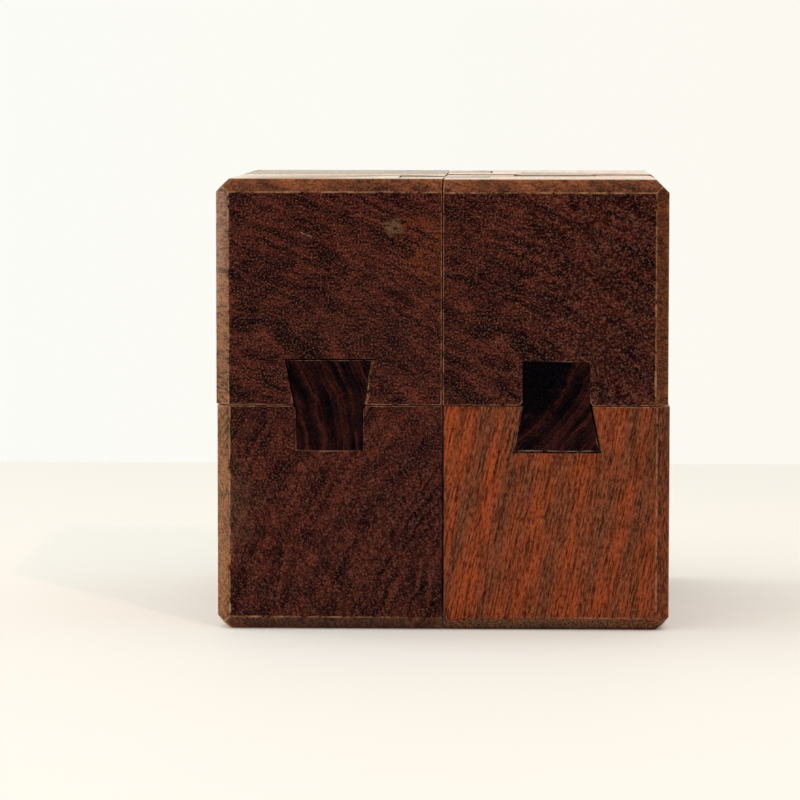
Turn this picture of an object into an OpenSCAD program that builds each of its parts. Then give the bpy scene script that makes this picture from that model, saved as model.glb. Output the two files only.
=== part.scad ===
// Wooden puzzle box: a cube of eight walnut blocks that slide apart on rosewood dovetail keys.
// +X is the right-hand side, +Y the rear, +Z up. The origin is at the centre of the underside.
// The upper front left block stays put. The three other corner columns climb in a spiral round
// it, each on an upright key, and every lower block also slides out level on a key of its own.

/* [Cube] */
// Side of the closed cube
cube_size = 80; // [76:1:100]
// Width of the bevel along the cube's outer edges
edge_bevel = 2.3; // [1:0.1:3]
// Gap between neighbouring blocks
seam_gap = 0.16; // [0.1:0.02:0.3]

/* [Dovetail keys] */
// Width of a key where it is straight
key_width = 12; // [10:0.5:13]
// Depth of a key in each of its two blocks
key_depth = 8; // [7:0.5:8]
// Sideways flare of a dovetail for each millimetre of depth
key_flare = 0.2; // [0.14:0.01:0.22]
// Clearance between a dovetail and the side of its groove
key_clearance = 0.2; // [0.18:0.02:0.3]

/* [Slides and stops] */
// How far each block slides
slide_travel = 28; // [22:1:28]
// Diameter of the stop pin in each key
pin_diameter = 3; // [2:0.5:3]
// How far a stop pin stands out of its key
pin_reach = 2; // [1.5:0.1:2]

/* [Compartments] */
// Thickness of the wood left round a compartment
wall = 4; // [3:0.5:4]
// Corner radius of a compartment
pocket_radius = 2; // [1:0.5:3]

/* [Hidden] */

half = cube_size / 2;          // from a middle plane to the outside
column = cube_size / 4;        // from a middle plane to the middle of a block
seam = seam_gap / 2;           // how far a block's inner face stands off a middle plane
side = half + 0.2;             // the upright seams don't quite close, so the cube is a little wider
bottom_gap = 0.25;             // the wider seam on the left of the lower front right block
left_inset = 0.17;             // how far the lower left block's side lies inside the one above it
right_inset = 0.28;            // how far the upper right block's side lies inside the one below it
slack = 0.08;                  // how far off true the handmade blocks and keys sit
step_down = 0.1;               // how much the front right column's top lies below its neighbours
rear_key_set = 0.5;            // sets the rear right key aside, so that no gap shows light right through
depth_clearance = 0.26;        // between a dovetail's wide face and the floor of its groove
tail_width = key_width + 2 * key_depth * key_flare;
short_key_start = 12;          // a level key in a right-hand block stops short of the upright key there
pin_inset = 6;                 // from the inner end of a long key to the middle of its stop pin
short_key_pin = pin_inset + slide_travel;
slot_play = 0.2;               // between a stop pin and its slot
neck_ease = [0.55, 0.8, 3];    // width, depth and length of the cut-off corners beside a key's neck
slot_floor = 0.4;              // between a stop pin's tip and the floor of its slot
cut = 1;                       // how far a cutting shape runs past a face
side_mouth = slide_travel - wall;   // width of a mouth in a side that slides clear of its neighbour
pocket_depth = half - wall;
under_groove = key_depth + depth_clearance + pin_reach + slot_floor + wall / 2;
curve = 48;                    // facets on a full turn

walnut = "#4b2f22";
walnut_light = "#8a4a2a";
rosewood = "#25140f";
brass = "#b08a45";

// Each key's place: the middle of its joint at the cube's middle, then its turn.
// In a key's own axes Y points into the dovetailed side and Z runs out to the end that shows.
front_left = [[-column, 0, half], [90, 0, 0]];
front_left_groove = [[-column - 1.5 * slack, 0, half], [90, 0, 0]];
front_right = [[column + slack, 0, half - slack], [90, 180, 0]];
front_right_groove = [[column + 2.75 * slack, 0, half - slack], [90, 180, 0]];
rear_left = [[-column, 0, half], [90, 0, 180]];
rear_right = [[column - rear_key_set, 0, half], [-90, 0, 0]];
top_front = [[0, -column, half], [0, 0, 90]];
top_rear = [[0, column, half], [0, 0, -90]];
top_right = [[column, 0, half], [0, 0, 180]];

// ---- shapes that repeat ----

module at(place) {
    translate(place[0]) rotate(place[1]) children();
}

// A rectangle from [x0, y0] to [x1, y1] whose far corner is cut off.
module bevelled_outline(x0, y0, x1, y1) {
    polygon([[x0, y0], [x1, y0], [x1, y1 - edge_bevel], [x1 - edge_bevel, y1], [x0, y1]]);
}

// One eighth of the cube, from its inner faces to its outer ones, bevelled where it is outermost.
module eighth(inner, outer) {
    intersection() {
        translate([0, 0, inner.z]) linear_extrude(outer.z - inner.z)
            bevelled_outline(inner.x, inner.y, outer.x, outer.y);
        translate([0, outer.y, 0]) rotate([90, 0, 0]) linear_extrude(outer.y - inner.y)
            bevelled_outline(inner.x, inner.z, outer.x, outer.z);
        translate([inner.x, 0, 0]) rotate([90, 0, 90]) linear_extrude(outer.x - inner.x)
            bevelled_outline(inner.y, inner.z, outer.y, outer.z);
    }
}

// Puts an eighth in the corner of the cube that side names, such as [-1, -1, 1].
module in_corner(side) {
    translate([0, 0, half])
        mirror([side.x < 0 ? 1 : 0, 0, 0])
        mirror([0, side.y < 0 ? 1 : 0, 0])
        mirror([0, 0, side.z < 0 ? 1 : 0])
        children();
}

// A key: straight where it is glued in, flared where it slides, and drilled for its stop pin.
module key(start, finish, pin_at) {
    difference() {
        translate([0, 0, start]) linear_extrude(finish - start)
            polygon([
                [-key_width / 2, -key_depth], [key_width / 2, -key_depth], [key_width / 2, 0],
                [tail_width / 2, key_depth], [-tail_width / 2, key_depth], [-key_width / 2, 0]
            ]);
        translate([0, 0, pin_at]) rotate([90, 0, 0])
            cylinder(d = pin_diameter, h = 3 * key_depth, center = true, $fn = curve);
    }
}

// A stop pin runs right through its key and out of the wide face of the dovetail.
module stop_pin(pin_at) {
    color(brass) translate([0, key_depth + pin_reach, pin_at]) rotate([90, 0, 0])
        cylinder(d = pin_diameter, h = 2 * key_depth + pin_reach, $fn = curve);
}

// What a key's straight side takes out of the block that it is glued into. The corners on both
// sides of the key are cut off where they show.
module mortise(start) {
    translate([-key_width / 2, -key_depth, start]) cube([key_width, key_depth + cut, half - start + cut]);
    for (hand = [0, 1])
        mirror([hand, 0, 0]) translate([key_width / 2, 0, half - neck_ease.z])
            linear_extrude(neck_ease.z + cut)
                polygon([[-cut, -neck_ease.y], [0, -neck_ease.y], [neck_ease.x, 0],
                         [neck_ease.x, cut], [-cut, cut]]);
}

// What a key's dovetail slides in, with the slot for its stop pin in the floor.
module groove() {
    throat = key_width / 2 + key_clearance;
    floor_half = tail_width / 2 + key_clearance + depth_clearance * key_flare;
    floor_at = key_depth + depth_clearance;
    slot_width = pin_diameter + 2 * slot_play;
    slot_depth = pin_reach + slot_floor;
    translate([0, 0, -cut]) linear_extrude(half + 2 * cut)
        polygon([[-throat, -cut], [throat, -cut], [throat, 0], [floor_half, floor_at],
                 [-floor_half, floor_at], [-throat, 0]]);
    for (z = [pin_inset, pin_inset + slide_travel])
        translate([0, floor_at + slot_depth, z]) rotate([90, 0, 0])
            cylinder(d = slot_width, h = slot_depth + cut, $fn = curve);
    translate([-slot_width / 2, floor_at - cut, pin_inset])
        cube([slot_width, slot_depth + cut, slide_travel]);
}

// A milled compartment: its mouth is in the plane of mouth, and turn 0 sinks it towards -Y.
module compartment(mouth, turn, width, height) {
    translate(mouth) rotate([90, 0, turn]) translate([0, 0, -cut]) {
        for (x = [-1, 1], y = [-1, 1])
            translate([x * (width / 2 - pocket_radius), y * (height / 2 - pocket_radius), 0])
                cylinder(r = pocket_radius, h = pocket_depth + cut, $fn = curve);
        translate([-width / 2, -height / 2 + pocket_radius, 0])
            cube([width, height - 2 * pocket_radius, pocket_depth + cut]);
        translate([-width / 2 + pocket_radius, -height / 2, 0])
            cube([width - 2 * pocket_radius, height, pocket_depth + cut]);
    }
}

// ---- the upper blocks ----

module front_left_upper_block() {
    color(walnut) difference() {
        in_corner([-1, -1, 1]) eighth([seam + slack, seam, seam], [side, half, half]);
        at(front_left_groove) groove();
        at(top_front) groove();
    }
}

module front_right_upper_block() {
    color(walnut) difference() {
        in_corner([1, -1, 1])
            eighth([seam - slack / 2, seam, seam], [side - right_inset, half, half - step_down]);
        at(top_front) mortise(0);
        at(front_right) mortise(short_key_start);
        at(top_right) groove();
    }
}

module rear_right_upper_block() {
    color(walnut) difference() {
        in_corner([1, 1, 1]) eighth([seam, seam, seam], [side, half, half]);
        at(top_right) mortise(0);
        at(rear_right) mortise(short_key_start);
        at(top_rear) groove();
    }
}

module rear_left_upper_block() {
    width = half - wall - key_depth - 5;
    height = half - wall - under_groove;
    color(walnut) difference() {
        in_corner([-1, 1, 1]) eighth([seam, seam, seam], [side, half, half]);
        at(top_rear) mortise(0);
        at(rear_left) groove();
        compartment([wall - half + width / 2, 0, cube_size - wall - height / 2], 180, width, height);
    }
}

// ---- the lower blocks ----

module front_left_lower_block() {
    width = half - 2 * wall;
    height = half - 2 * wall - key_depth;
    color(walnut) difference() {
        in_corner([-1, -1, -1]) eighth([seam + slack / 2, seam, seam], [side - left_inset, half, half]);
        at(front_left) mortise(0);
        compartment([-half / 2, 0, wall + height / 2], 0, width, height);
    }
}

module front_right_lower_block() {
    height = half - wall - under_groove;
    color(walnut_light) difference() {
        in_corner([1, -1, -1]) eighth([bottom_gap, seam, seam], [side, half, half]);
        at(front_right_groove) groove();
        compartment([0, wall + side_mouth / 2 - half, wall + height / 2], 90, side_mouth, height);
    }
}

module rear_right_lower_block() {
    width = half - 2 * wall;
    height = half - wall - under_groove;
    color(walnut) difference() {
        in_corner([1, 1, -1]) eighth([seam, seam, seam], [side, half, half]);
        at(rear_right) groove();
        compartment([half / 2, 0, wall + height / 2], 180, width, height);
    }
}

module rear_left_lower_block() {
    height = half - 2 * wall - key_depth;
    color(walnut) difference() {
        in_corner([-1, 1, -1]) eighth([seam, seam, seam], [side, half, half]);
        at(rear_left) mortise(0);
        compartment([0, half - wall - side_mouth / 2, wall + height / 2], -90, side_mouth, height);
    }
}

// ---- the keys ----

module long_key(place, finish = half) {
    color(rosewood) at(place) key(0, finish, pin_inset);
}

module short_key(place) {
    color(rosewood) at(place) key(short_key_start, half, short_key_pin);
}

front_left_upper_block();
front_right_upper_block();
rear_right_upper_block();
rear_left_upper_block();
front_left_lower_block();
front_right_lower_block();
rear_right_lower_block();
rear_left_lower_block();
long_key(top_front, half - step_down);  // top_front_key
long_key(top_right);  // top_right_key
long_key(top_rear);  // top_rear_key
long_key(front_left);  // front_left_key
long_key(rear_left);  // rear_left_key
short_key(front_right);  // front_right_key
short_key(rear_right);  // rear_right_key
at(top_front) stop_pin(pin_inset);  // top_front_stop_pin
at(top_right) stop_pin(pin_inset);  // top_right_stop_pin
at(top_rear) stop_pin(pin_inset);  // top_rear_stop_pin
at(front_left) stop_pin(pin_inset);  // front_left_stop_pin
at(rear_left) stop_pin(pin_inset);  // rear_left_stop_pin
at(front_right) stop_pin(short_key_pin);  // front_right_stop_pin
at(rear_right) stop_pin(short_key_pin);  // rear_right_stop_pin
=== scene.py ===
import math
import bmesh
import bpy
from mathutils import Matrix, Vector, noise
from mathutils.kdtree import KDTree


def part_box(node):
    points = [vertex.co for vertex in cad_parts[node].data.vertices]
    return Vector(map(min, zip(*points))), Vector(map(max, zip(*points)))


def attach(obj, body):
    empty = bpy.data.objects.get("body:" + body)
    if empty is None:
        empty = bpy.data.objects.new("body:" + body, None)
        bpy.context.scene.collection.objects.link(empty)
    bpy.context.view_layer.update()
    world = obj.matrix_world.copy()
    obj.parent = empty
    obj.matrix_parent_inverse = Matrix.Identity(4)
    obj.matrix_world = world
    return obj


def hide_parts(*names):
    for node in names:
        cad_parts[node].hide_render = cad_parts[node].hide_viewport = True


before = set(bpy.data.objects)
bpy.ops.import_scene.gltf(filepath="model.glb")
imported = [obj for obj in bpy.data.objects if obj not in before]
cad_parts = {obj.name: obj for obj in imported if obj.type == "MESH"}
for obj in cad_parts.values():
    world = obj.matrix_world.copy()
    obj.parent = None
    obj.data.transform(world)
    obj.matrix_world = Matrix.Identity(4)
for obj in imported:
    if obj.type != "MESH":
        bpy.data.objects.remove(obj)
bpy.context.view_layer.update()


# ---- The eight walnut blocks ----
# Each corner block is one piece of walnut, sawn to a cube and then milled with its dovetail
# grooves, mortises and compartment. It is sanded and oiled by hand, which takes the sharpness
# off every corner, and the corners have since worn pale.

MM = 0.001
block_softness = 0.17 * MM        # how far sanding reaches in from a block's sharp corner
corner_step = 1.5 * MM            # how often the softness changes along a corner
least_softness = 0.35             # how soft a corner is at least, as a share of its softness


def sanded(name, mesh, knocks=(), softness=block_softness):
    """A piece whose outward corners are rounded unevenly, and more round each knock.

    A knock is a place and a radius in millimetres, then how many times softer it is there.
    A negative number keeps the corner crisp. The attribute worn says how rubbed each face is.
    """
    work = bmesh.new()
    work.from_mesh(mesh)
    bmesh.ops.remove_doubles(work, verts=work.verts, dist=0.001 * MM)
    bmesh.ops.dissolve_limit(work, angle_limit=math.radians(0.5), verts=work.verts, edges=work.edges)
    bmesh.ops.recalc_face_normals(work, faces=work.faces)
    worn = work.faces.layers.float.new("worn")
    corners = [e for e in work.edges if e.is_manifold and e.calc_face_angle_signed() > math.radians(25)]
    lines = []
    pieces = []
    for edge in corners:
        count = max(1, round(edge.calc_length() / corner_step))
        lines.append((edge.verts[0].co.copy(), edge.verts[1].co.copy(), count))
        rest, far = edge, edge.verts[1]
        for left in range(count, 1, -1):
            near = rest.other_vert(far)
            piece, _ = bmesh.utils.edge_split(rest, near, 1 / left)
            if far not in rest.verts:
                rest, piece = piece, rest
            pieces.append(piece)
        pieces.append(rest)
    made = bmesh.ops.bevel(work, geom=pieces, offset=softness, offset_type="OFFSET", segments=2,
                           profile=0.6, affect="EDGES", clamp_overlap=False)
    spots = [(a.lerp(b, (i + 0.5) / n), a, b) for a, b, n in lines for i in range(n)]
    tree = KDTree(len(spots))
    for i, (spot, _, _) in enumerate(spots):
        tree.insert(spot, i)
    tree.balance()
    rubbed = {}
    for vert in {v for face in made["faces"] for v in face.verts}:
        _, a, b = spots[tree.find(vert.co)[1]]
        along = max(0, min(1, (vert.co - a).dot(b - a) / (b - a).length_squared))
        edge_point = a.lerp(b, along)
        place = edge_point / MM
        much = 0.9 + 0.8 * noise.noise(place * 0.35) + 0.35 * noise.noise(place * 1.1)
        for knock, radius, times in knocks:
            near = max(0, 1 - (place - Vector(knock)).length / radius)
            much += times * near * near
        vert.co = edge_point + (vert.co - edge_point) * max(least_softness, much)
        rubbed[vert] = max(0, min(1, much))
    for face in made["faces"]:
        face[worn] = sum(rubbed[vert] for vert in face.verts) / len(face.verts)

    shape = bpy.data.meshes.new(name)
    work.to_mesh(shape)
    work.free()
    shape.shade_smooth()
    shape.set_sharp_from_angle(angle=math.radians(20))
    piece = bpy.data.objects.new(name, shape)
    bpy.context.scene.collection.objects.link(piece)
    return piece


def put(tree, kind, inputs=None, **settings):
    """Adds a node, makes its settings, and gives its inputs values or other nodes' outputs."""
    made = tree.nodes.new(kind)
    for name, value in settings.items():
        setattr(made, name, value)
    for name, value in (inputs or {}).items():
        if isinstance(value, bpy.types.NodeSocket):
            tree.links.new(value, made.inputs[name])
        else:
            made.inputs[name].default_value = value
    return made


def timber(name, heart, grain, look, lie=0, marks=()):
    """Solid wood with growth rings round a heart line, in millimetres, that runs along the grain.

    lie is how far its fine strokes are turned in the end grain. A mark is a place, its reach three
    ways in millimetres, its turn about Y, how soft its rim is, its colour and its strength.
    """
    material = bpy.data.materials.new(name)
    material.use_nodes = True
    tree = material.node_tree
    tree.nodes.clear()
    grain = Vector(grain).normalized()

    def maths(operation, a, b=0.0, clamp=False):
        return put(tree, "ShaderNodeMath", {0: a, 1: b}, operation=operation, use_clamp=clamp).outputs[0]

    def scaled(vector, by):
        return put(tree, "ShaderNodeVectorMath", {0: vector, 1: by}, operation="MULTIPLY").outputs[0]

    def cloud(vector, scale, detail=2.0, rough=0.5):
        return put(tree, "ShaderNodeTexNoise",
                   {"Vector": vector, "Scale": scale, "Detail": detail, "Roughness": rough}).outputs[0]

    def along(distance, scale, detail=2.0, rough=0.5):
        return put(tree, "ShaderNodeTexNoise",
                   {"W": distance, "Scale": scale, "Detail": detail, "Roughness": rough},
                   noise_dimensions="1D").outputs[0]

    def between(value, low, high, to_low=0.0, to_high=1.0):
        return put(tree, "ShaderNodeMapRange",
                   {"Value": value, "From Min": low, "From Max": high, "To Min": to_low, "To Max": to_high},
                   interpolation_type="SMOOTHSTEP").outputs[0]

    def mixed(amount, a, b):
        return put(tree, "ShaderNodeMix", {0: amount, 6: a, 7: b}, data_type="RGBA").outputs[2]

    def times(colour, amount):
        return put(tree, "ShaderNodeVectorMath", {0: colour, "Scale": amount}, operation="SCALE").outputs[0]

    place = put(tree, "ShaderNodeTexCoord")
    turned = put(tree, "ShaderNodeMapping",
                 {"Vector": place.outputs["Object"], "Location": Vector(heart) * MM,
                  "Rotation": Vector((0, 0, 1)).rotation_difference(grain).to_euler()},
                 vector_type="TEXTURE").outputs[0]
    wood = times(turned, 1 / MM)
    radius = put(tree, "ShaderNodeVectorMath", {0: scaled(wood, (1, 1, 0))},
                 operation="LENGTH").outputs["Value"]
    sway = maths("MULTIPLY", maths("SUBTRACT", cloud(scaled(wood, (1, 1, 0.3)), 0.09, 4), 0.5), look["sway"])
    ring = maths("ADD", radius, sway)
    long_wood = scaled(wood, (1, 1, look["stretch"]))

    band = between(along(ring, look["band"], 4, 0.6), look["dark_share"], look["dark_share"] + 0.28)
    patch = between(cloud(long_wood, look["patch"], 3, 0.6), 0.35, 0.65)
    figure = mixed(look["patchy"], band, patch)
    thin = between(maths("ABSOLUTE", maths("SUBTRACT", along(ring, look["line"], 2), 0.5)), 0, 0.06, 1, 0)
    thin = maths("MULTIPLY", thin, between(cloud(scaled(wood, (1, 1, 0.2)), 0.2, 3), 0.4, 0.58))
    ripple = put(tree, "ShaderNodeTexNoise",
                 {"Vector": long_wood, "Scale": 0.6, "Detail": 1.0}).outputs["Color"]
    wavy = put(tree, "ShaderNodeVectorMath", {0: wood, 1: scaled(ripple, (1, 1, 0))},
               operation="ADD").outputs[0]
    strokes = put(tree, "ShaderNodeMapping", {"Vector": wavy, "Rotation": (0, 0, math.radians(lie)),
                                              "Scale": look["weave"]}, vector_type="TEXTURE").outputs[0]
    strokes = between(cloud(strokes, 1, 2), 0.4, 0.53, 1, 0)
    dashes = between(cloud(scaled(wood, (1, 1, 0.05)), look["dash"], 1), 0.52, 0.66)
    fine = cloud(scaled(wood, (1, 1, 0.3)), look["grit"], 2, 0.7)
    pits = between(fine, 0.36, 0.54, 1, 0)
    specks = between(fine, 0.52, 0.66)

    facing = put(tree, "ShaderNodeVectorMath", {0: place.outputs["Normal"], 1: grain},
                 operation="DOT_PRODUCT").outputs["Value"]
    end = between(maths("ABSOLUTE", facing), 0.5, 1.0)

    side_colour = mixed(figure, look["side_dark"], look["side_light"])
    end_colour = mixed(figure, look["end_dark"], look["end_light"])
    colour = mixed(end, side_colour, end_colour)
    for spot, reach, turn, softness, tint, strength in marks:
        nearness = put(tree, "ShaderNodeMapping",
                       {"Vector": place.outputs["Object"], "Location": Vector(spot) * MM,
                        "Rotation": (0, math.radians(turn), 0), "Scale": Vector(reach) * MM},
                       vector_type="TEXTURE").outputs[0]
        nearness = put(tree, "ShaderNodeVectorMath", {0: nearness}, operation="LENGTH").outputs["Value"]
        frayed = maths("ADD", nearness, maths("MULTIPLY", maths("SUBTRACT", cloud(wood, 0.9, 3), 0.5), 1.2))
        colour = mixed(maths("MULTIPLY", between(frayed, 1 - softness, 1, 1, 0), strength), colour, tint)
    open_grain = between(maths("MULTIPLY", end, end), 0, 1, look["side_open"], 1)
    for marking, depth in ((maths("MULTIPLY", thin, between(end, 0, 1, 0.4, 1)), "line_depth"),
                           (dashes, "dash_depth"),
                           (maths("MULTIPLY", strokes, open_grain), "stroke_depth"),
                           (maths("MULTIPLY", pits, open_grain), "pit_depth")):
        colour = times(colour, between(marking, 0, 1, 1, 1 - look[depth]))
    speckled = maths("MULTIPLY", specks, between(end, 0, 1, look["side_specks"], look["specks"]))
    colour = mixed(speckled, colour, look["dust"])
    rubbed = put(tree, "ShaderNodeAttribute", attribute_name="worn").outputs["Fac"]
    rubbed = maths("MULTIPLY", rubbed, between(cloud(wood, 0.7, 4, 0.7), 0.36, 0.62))
    colour = mixed(maths("MULTIPLY", rubbed, look["wear"]), colour, look["pale"])

    height = maths("SUBTRACT", fine, maths("MULTIPLY", strokes, 0.5))
    height = maths("MULTIPLY", height, between(end, 0, 1, 0.1, 1))
    relief = put(tree, "ShaderNodeBump", {"Height": height, "Strength": 1.0, "Distance": look["relief"] * MM})
    rough = maths("ADD", look["rough"], maths("MULTIPLY", end, look["end_rough"]))
    rough = maths("ADD", rough, maths("MULTIPLY", strokes, 0.03))
    shader = put(tree, "ShaderNodeBsdfPrincipled",
                 {"Base Color": colour, "Roughness": rough, "Normal": relief.outputs[0],
                  "Specular IOR Level": look["shine"]})
    put(tree, "ShaderNodeOutputMaterial", {"Surface": shader.outputs[0]})
    return material


walnut = {
    "side_dark": (0.170, 0.055, 0.021, 1), "side_light": (0.450, 0.155, 0.052, 1),
    "end_dark": (0.021, 0.0024, 0.0046, 1), "end_light": (0.150, 0.033, 0.020, 1),
    "pale": (0.440, 0.230, 0.125, 1), "dust": (0.290, 0.155, 0.105, 1),
    "sway": 6.0, "band": 0.35, "dark_share": 0.36, "line": 0.5, "line_depth": 0.75,
    "stretch": 0.1, "patch": 0.2, "patchy": 0.5,
    "weave": (1.3, 0.45, 9), "stroke_depth": 0.65, "grit": 3.0, "pit_depth": 0.68, "side_open": 0.6,
    "specks": 0.42, "side_specks": 0.2, "dash": 3.0, "dash_depth": 0.2, "wear": 0.85,
    "relief": 0.05, "rough": 0.07, "end_rough": 0.05, "shine": 0.03,
}
close_walnut = dict(walnut, stroke_depth=0.55, pit_depth=0.55, specks=0.34)
russet = dict(
    walnut, side_dark=(0.210, 0.064, 0.028, 1), side_light=(0.450, 0.083, 0.022, 1),
    dust=(0.38, 0.18, 0.11, 1), patch=0.3, patchy=0.8, line_depth=0.1, weave=(0.42, 0.42, 6),
    stroke_depth=0.5, pit_depth=0.65, side_open=0.8, side_specks=0.35, dash=3.6, dash_depth=0.6)

reddened = (0.190, 0.042, 0.017, 1)
greyed = (0.190, 0.110, 0.060, 1)
# Painted light: a paler tan on the left front bevels, standing in for part of the light that falls on them
# from the left.
painted_light_tan = (0.400, 0.185, 0.088, 1)
# Painted shade: a darker tan on the right front bevels, standing in for the weaker light on that side.
painted_shade_tan = (0.140, 0.044, 0.017, 1)
blackened = (0.012, 0.002, 0.002, 1)

scuffed = (0.60, 0.42, 0.32, 1)
# Painted shade: a dark brown on the left block's bottom bevel, which faces the table and gets little light.
painted_underside_shade = (0.075, 0.038, 0.030, 1)

bevel_at = 39.2         # how far out the marks on a bevel are
bevel_reach = 2.2       # half of the width of a mark along a bevel


def upright_bevel(side, height, tint, strength):
    """A mark, in millimetres, all the way up one block's front bevel: here painted light on the left bevels
    and painted shade on the right ones.
    """
    place = (side * bevel_at, -bevel_at, height)
    return place, (bevel_reach, bevel_reach, 40), 0, 0.6, tint, strength


def bottom_bevel(aside, tint, strength):
    """A mark, in millimetres, along the front bevel at the cube's foot; on the left block it is painted
    shade.
    """
    return (aside, -bevel_at, 0.8), (30, bevel_reach, bevel_reach), 0, 0.5, tint, strength


# block: heart line's place, grain, lie of the strokes, look, knocks, marks
blocks = {
    "front_left_upper": (
        (-93, 0, -83), (0, 1, 0), 4, walnut,
        (((-21, -40, 48), 11, -5), ((-29, -40, 45), 6, -5),
         ((-26.2, -40, 40), 2, 5), ((-13.8, -40, 41), 4, 3)),
        (((-3, -40, 67), (8, 4, 11), 0, 0.9, reddened, 0.75),
         ((-21, -40, 66.5), (5, 3, 2), 25, 0.7, blackened, 0.6),
         ((-8.7, -40, 71.5), (2.2, 1, 2.0), 0, 0.5, greyed, 0.8),
         ((-24, -40, 70.2), (1.3, 1, 0.13), 22, 0.5, scuffed, 0.9),
         # painted light on the left bevel
         upright_bevel(-1, 60, painted_light_tan, 0.5))),
    "front_right_upper": (
        (-53, 0, -83), (0.02, 1, 0), 4, walnut, (((13.8, -40, 46), 7, -4), ((25, -40, 47), 7, -3)),
        (((30, -40, 63), (9, 3, 4), 25, 0.9, blackened, 0.5),
         # painted shade on the right bevel
         upright_bevel(1, 60, painted_shade_tan, 0.9))),
    "rear_right_upper": ((60, 0, 130), (0, 1, 0.03), 0, walnut, (), ()),
    "rear_left_upper": ((-90, 80, 0), (0.02, 0, 1), 0, walnut, (), ()),
    "front_left_lower": (
        (42, 0, -12), (0, 1, 0.02), 65, close_walnut,
        (((-39.8, -40, 0), 5, 4), ((0, -40, 18), 30, -3), ((-26.3, -40, 35), 6, -4)),
        (((-37, -40, 22), (6, 3, 12), 0, 1.0, greyed, 0.3),
         # painted light on the left bevel
         # painted shade on the bottom bevel
         upright_bevel(-1, 20, painted_light_tan, 0.6), bottom_bevel(-18, painted_underside_shade, 0.75))),
    "front_right_lower": (
        (-90, 40, 0), (0.19, 0, 0.98), 0, russet, (((0, -40, 20), 34, -8), ((20, -40, 33), 13, -5)),
        # painted shade on the right bevel
        (upright_bevel(1, 20, painted_shade_tan, 0.6), bottom_bevel(18, greyed, 0.65))),
    "rear_right_lower": ((0, 90, -20), (1, 0, 0.03), 0, walnut, (), ()),
    "rear_left_lower": ((-70, 0, 60), (0, 1, 0), 30, walnut, (), ()),
}
for body, (heart, grain, lie, look, knocks, marks) in blocks.items():
    node = body + "_block"
    block = sanded(body + "_walnut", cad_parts[node].data, knocks)
    block.data.materials.clear()
    block.data.materials.append(timber(body + " timber", heart, grain, look, lie, marks))
    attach(block, body)
    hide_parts(node)


# ---- The seven rosewood keys ----
# Every key is cut from one strip of dovetail stock: half of its section is straight and is glued
# into a mortise, and the other half flares and slides in a groove. A cross hole takes its pin.

rosewood = dict(
    walnut, side_dark=(0.006, 0.003, 0.003, 1), side_light=(0.080, 0.020, 0.012, 1),
    end_dark=(0.0002, 0.0008, 0.0030, 1), end_light=(0.085, 0.020, 0.015, 1), pale=(0.34, 0.20, 0.13, 1),
    sway=4, band=0.55, dark_share=0.43, patchy=0.25, weave=(0.7, 0.7, 7), stroke_depth=0.3,
    pit_depth=0.5, specks=0.04, side_specks=0.02, wear=0.8, relief=0.02, shine=0.015)

key_softness = 0.1 * MM

# One mark, as for the blocks: the front right key is almost black at its upper corner.
inky = ((16, -40, 44.5), (7.5, 8, 10), 30, 0.5, (0.0005, 0.0006, 0.003, 1), 1.0)

# key: body, way the dovetail points, way its end faces, heart line's place, knocks
keys = {
    "top_front": ("front_right_upper", (-1, 0, 0), (0, 0, 1), (-30, -60, 0), ()),
    "top_right": ("rear_right_upper", (0, -1, 0), (0, 0, 1), (60, 20, 0), ()),
    "top_rear": ("rear_left_upper", (1, 0, 0), (0, 0, 1), (20, 70, 0), ()),
    "front_left": ("front_left_lower", (0, 0, 1), (0, -1, 0), (-70, 0, 25),
                   (((-29, -40, 41), 9, -5), ((-13, -40, 38), 8, -5), ((-20, -40, 32), 6, -3))),
    "front_right": ("front_right_upper", (0, 0, -1), (0, -1, 0), (-20, 0, 70),
                    (((16, -40, 32), 9, 2.5), ((26, -40, 32), 6, 1.5), ((14, -40, 46), 8, -5),
                     ((28, -40, 41), 8, -5))),
    "rear_right": ("rear_right_upper", (0, 0, -1), (0, 1, 0), (60, 0, 60), ()),
    "rear_left": ("rear_left_lower", (0, 0, 1), (0, 1, 0), (-50, 0, 0), ()),
}
for key, (body, _, run, heart, knocks) in keys.items():
    node = key + "_key"
    bar = sanded(key + "_rosewood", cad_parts[node].data, knocks, key_softness)
    bar.data.materials.clear()
    marks = (inky,) if key == "front_right" else ()
    bar.data.materials.append(timber(key + " timber", heart, run, rosewood, marks=marks))
    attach(bar, body)
    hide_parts(node)


# ---- The seven brass stop pins ----
# Each pin is parted off from brass rod with its ends chamfered, and driven through its key. Its
# tip runs in a slot under the dovetail, and its head is hidden once the key is glued in.

pin_chamfer = 0.3 * MM


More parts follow.
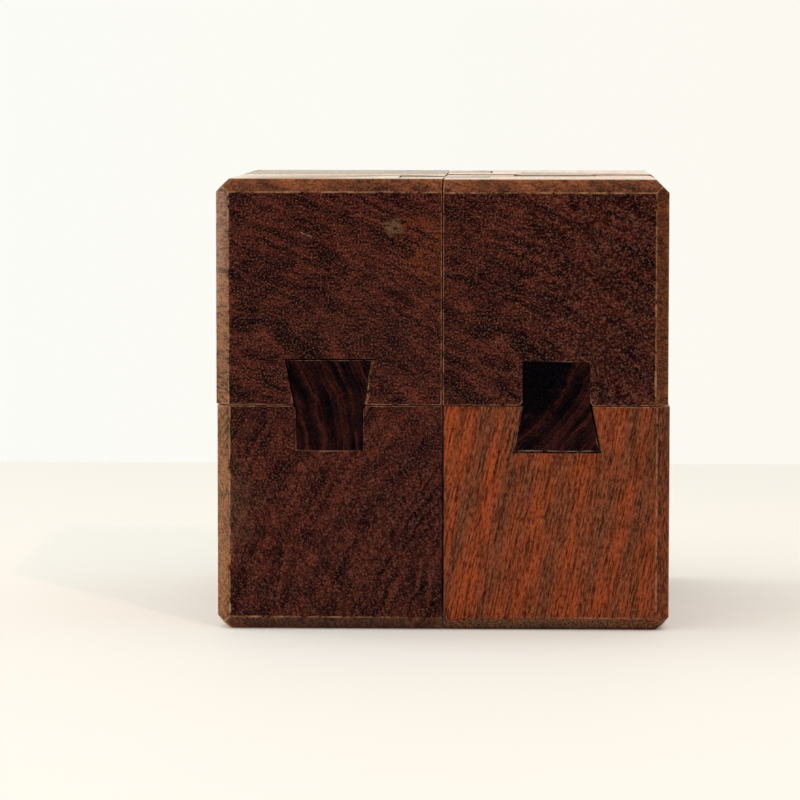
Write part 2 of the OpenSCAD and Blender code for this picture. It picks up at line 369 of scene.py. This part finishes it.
def turned_pin_tree(brass):
    """A chamfered rod along X: a line of four places is given radii and swept with a circle."""
    tree = bpy.data.node_groups.new("turned pin", "GeometryNodeTree")
    for name in ("Radius", "Length", "Chamfer"):
        tree.interface.new_socket(name, in_out="INPUT", socket_type="NodeSocketFloat")
    tree.interface.new_socket("Pin", in_out="OUTPUT", socket_type="NodeSocketGeometry")
    sizes = put(tree, "NodeGroupInput").outputs

    def maths(operation, a, b):
        return put(tree, "ShaderNodeMath", {0: a, 1: b}, operation=operation).outputs[0]

    index = put(tree, "GeometryNodeInputIndex").outputs[0]
    from_middle = maths("SUBTRACT", index, 1.5)
    outer = put(tree, "FunctionNodeCompare", {"A": maths("ABSOLUTE", from_middle, 0.0), "B": 1.0},
                operation="GREATER_THAN").outputs[0]
    inset = put(tree, "GeometryNodeSwitch", {"Switch": outer, "False": sizes["Chamfer"], "True": 0.0},
                input_type="FLOAT").outputs[0]
    side = maths("SIGN", from_middle, 0.0)
    reach = maths("SUBTRACT", maths("MULTIPLY", sizes["Length"], 0.5), inset)
    spot = put(tree, "ShaderNodeCombineXYZ", {"X": maths("MULTIPLY", side, reach)}).outputs[0]
    end_radius = maths("SUBTRACT", sizes["Radius"], sizes["Chamfer"])
    narrow = put(tree, "GeometryNodeSwitch",
                 {"Switch": outer, "False": sizes["Radius"], "True": end_radius},
                 input_type="FLOAT").outputs[0]
    line = put(tree, "GeometryNodeCurvePrimitiveLine").outputs[0]
    line = put(tree, "GeometryNodeResampleCurve", {"Curve": line, "Count": 4}).outputs[0]
    line = put(tree, "GeometryNodeSetPosition", {"Geometry": line, "Position": spot}).outputs[0]
    line = put(tree, "GeometryNodeSetCurveRadius", {"Curve": line, "Radius": narrow}).outputs[0]
    round_section = put(tree, "GeometryNodeCurvePrimitiveCircle",
                        {"Resolution": 40, "Radius": 1.0}).outputs[0]
    swept = put(tree, "GeometryNodeCurveToMesh",
                {"Curve": line, "Profile Curve": round_section, "Scale": narrow,
                 "Fill Caps": True}).outputs[0]
    whole = put(tree, "GeometryNodeRealizeInstances", {"Geometry": swept}).outputs[0]
    done = put(tree, "GeometryNodeSetMaterial", {"Geometry": whole, "Material": brass}).outputs[0]
    put(tree, "NodeGroupOutput", {"Pin": done})
    return tree


def grown(name, tree, values):
    """The plain mesh that a node tree makes with these input values."""
    holder = bpy.data.objects.new(name + " maker", bpy.data.meshes.new(name + " maker"))
    bpy.context.scene.collection.objects.link(holder)
    maker = holder.modifiers.new("tree", "NODES")
    maker.node_group = tree
    for socket in tree.interface.items_tree:
        if socket.in_out == "INPUT":
            maker[socket.identifier] = values[socket.name]
    shape = bpy.data.meshes.new_from_object(holder.evaluated_get(bpy.context.evaluated_depsgraph_get()))
    bpy.data.objects.remove(holder)
    return shape


def turned_brass():
    """Plain brass that is a little tarnished in places, and duller there."""
    material = bpy.data.materials.new("turned brass")
    material.use_nodes = True
    tree = material.node_tree
    tree.nodes.clear()
    place = put(tree, "ShaderNodeTexCoord").outputs["Object"]
    tarnish = put(tree, "ShaderNodeTexNoise", {"Vector": place, "Scale": 900, "Detail": 3}).outputs[0]
    colour = put(tree, "ShaderNodeMix", {0: tarnish, 6: (0.62, 0.40, 0.14, 1), 7: (0.40, 0.24, 0.09, 1)},
                 data_type="RGBA").outputs[2]
    rough = put(tree, "ShaderNodeMapRange", {"Value": tarnish, "To Min": 0.22, "To Max": 0.45}).outputs[0]
    relief = put(tree, "ShaderNodeBump", {"Height": tarnish, "Distance": 0.01 * MM})
    shader = put(tree, "ShaderNodeBsdfPrincipled",
                 {"Base Color": colour, "Metallic": 1.0, "Roughness": rough, "Normal": relief.outputs[0]})
    put(tree, "ShaderNodeOutputMaterial", {"Surface": shader.outputs[0]})
    return material


brass = turned_brass()
pin_tree = turned_pin_tree(brass)
for key, (body, tail, *_) in keys.items():
    node = key + "_stop_pin"
    low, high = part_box(node)
    size = high - low
    values = {"Radius": min(size) / 2, "Length": max(size), "Chamfer": pin_chamfer}
    shape = grown(node, pin_tree, values)
    turn = Vector((1, 0, 0)).rotation_difference(Vector(tail)).to_matrix().to_4x4()
    shape.transform(Matrix.Translation((low + high) / 2) @ turn)
    shape.shade_smooth()
    shape.set_sharp_from_angle(angle=math.radians(25))
    pin = bpy.data.objects.new(key + "_brass_pin", shape)
    bpy.context.scene.collection.objects.link(pin)
    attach(pin, body)
    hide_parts(node)


# ---- The table, the lights and the camera ----
# The closed cube stands on a pale table in a pale room that is brightest behind it and on its
# left. A small warm lamp before it on the right casts the one shadow that has an edge.

dark_reach = 10 * MM            # how near a thing stands to where the table stops glowing
brightest_way = (-0.45, 1, 0)   # from the cube to the brightest part of the room


def milky_acrylic(glow):
    """A matt white sheet with the faintest mottle, which glows a little except close round the cube.

    The glow stands for the light that a bright room throws back on it.
    """
    material = bpy.data.materials.new("milky acrylic")
    material.use_nodes = True
    tree = material.node_tree
    tree.nodes.clear()
    place = put(tree, "ShaderNodeTexCoord").outputs["Object"]
    mottle = put(tree, "ShaderNodeTexNoise", {"Vector": place, "Scale": 40, "Detail": 3}).outputs[0]
    colour = put(tree, "ShaderNodeMix", {0: mottle, 6: (0.83, 0.79, 0.74, 1), 7: (0.845, 0.805, 0.76, 1)},
                 data_type="RGBA").outputs[2]
    room = put(tree, "ShaderNodeAmbientOcclusion", {"Distance": dark_reach}, samples=8).outputs["AO"]
    glow = put(tree, "ShaderNodeMapRange", {"Value": room, "From Min": 0.05, "From Max": 0.3,
                                            "To Max": glow}).outputs[0]
    shader = put(tree, "ShaderNodeBsdfPrincipled",
                 {"Base Color": colour, "Roughness": 0.7, "Specular IOR Level": 0.2,
                  "Emission Color": (0.80, 0.86, 0.79, 1), "Emission Strength": glow})
    put(tree, "ShaderNodeOutputMaterial", {"Surface": shader.outputs[0]})
    return material


def table_top(half_width, front, rear, thickness):
    """A slab whose upper surface is at the cube's underside."""
    work = bmesh.new()
    bmesh.ops.create_cube(work, size=1)
    bmesh.ops.scale(work, verts=work.verts, vec=(2 * half_width, rear - front, thickness))
    bmesh.ops.translate(work, verts=work.verts, vec=(0, (front + rear) / 2, -thickness / 2))
    bmesh.ops.bevel(work, geom=work.edges[:], offset=thickness / 4, segments=4, affect="EDGES")
    mesh = bpy.data.meshes.new("table")
    work.to_mesh(mesh)
    work.free()
    mesh.materials.append(milky_acrylic(glow=0.27))
    made = bpy.data.objects.new("table", mesh)
    bpy.context.scene.collection.objects.link(made)


def soft_light(name, place, aim, width, height, power, colour):
    """A soft flat light that faces its aim."""
    lamp = bpy.data.lights.new(name, "AREA")
    lamp.shape = "RECTANGLE"
    lamp.size = width
    lamp.size_y = height
    lamp.energy = power
    lamp.color = colour
    made = bpy.data.objects.new(name, lamp)
    made.location = place
    made.rotation_euler = (Vector(aim) - Vector(place)).to_track_quat("-Z", "Y").to_euler()
    bpy.context.scene.collection.objects.link(made)


def pale_room(bright, dim, cool, warm):
    """A pale backdrop on every side, whose light is bright from behind and the left of the cube."""
    world = bpy.data.worlds.new("room")
    bpy.context.scene.world = world
    world.use_nodes = True
    tree = world.node_tree
    way = put(tree, "ShaderNodeTexCoord").outputs["Generated"]
    aside = put(tree, "ShaderNodeSeparateXYZ", {0: way}).outputs["X"]
    aside = put(tree, "ShaderNodeMapRange", {"Value": aside, "From Min": -0.3, "From Max": 0.3}).outputs[0]
    tint = put(tree, "ShaderNodeMix", {0: aside, 6: cool, 7: warm}, data_type="RGBA").outputs[2]
    towards = put(tree, "ShaderNodeVectorMath", {0: way, 1: brightest_way},
                  operation="DOT_PRODUCT")
    light = put(tree, "ShaderNodeMapRange", {"Value": towards.outputs["Value"], "From Min": -0.7,
                                             "From Max": 0.5, "To Min": dim, "To Max": bright}).outputs[0]
    sheen = put(tree, "ShaderNodeMapRange", {"Value": towards.outputs["Value"], "From Min": -0.2,
                                             "From Max": 0.5, "To Min": dim, "To Max": 1.2}).outputs[0]
    ray = put(tree, "ShaderNodeLightPath").outputs
    light = put(tree, "ShaderNodeMix", {0: ray["Is Glossy Ray"], 2: light, 3: sheen}).outputs[0]
    glow = put(tree, "ShaderNodeMix", {0: ray["Is Camera Ray"], 2: light, 3: 1.0}).outputs[0]
    warmed = put(tree, "ShaderNodeVectorMath", {0: tint, 1: (0.97, 0.87, 0.76)},
                 operation="MULTIPLY").outputs[0]
    tint = put(tree, "ShaderNodeMix", {0: ray["Is Glossy Ray"], 6: tint, 7: warmed},
               data_type="RGBA").outputs[2]
    tree.links.new(tint, tree.nodes["Background"].inputs["Color"])
    tree.links.new(glow, tree.nodes["Background"].inputs["Strength"])


table_top(half_width=1.5, front=-1.6, rear=0.28, thickness=0.02)
middle = (0, 0, 0.04)
soft_light("cool left light", (-0.9, 0.1, 0.12), middle, 0.8, 0.2, 5, (0.85, 0.98, 0.97))
soft_light("warm lamp", (0.53, -0.99, 1.03), middle, 0.05, 0.05, 3, (1.0, 0.58, 0.5))
soft_light("ceiling light", (-0.05, -0.45, 1.25), (-0.05, -0.45, 0), 2.2, 1.8, 13.5, (1.0, 0.98, 0.955))
pale_room(bright=0.6, dim=0.05, cool=(0.97, 0.985, 0.96, 1), warm=(0.97, 0.925, 0.82, 1))

lens = bpy.data.cameras.new("camera")
lens.lens = 177.96
lens.sensor_width = 36
lens.clip_start = 0.05
lens.clip_end = 20
camera = bpy.data.objects.new("camera", lens)
look_down, look_aside, tilt = math.radians(4.499), math.radians(1.728), math.radians(0.055)
camera.location = (0.01349, -0.73633, 0.09582)
camera.rotation_euler = (
    Matrix.Rotation(look_aside, 3, "Z") @ Matrix.Rotation(math.pi / 2 - look_down, 3, "X")
    @ Matrix.Rotation(tilt, 3, "Z")).to_euler()
bpy.context.scene.collection.objects.link(camera)
bpy.context.scene.camera = camera
bpy.context.scene.view_settings.view_transform = "Standard"
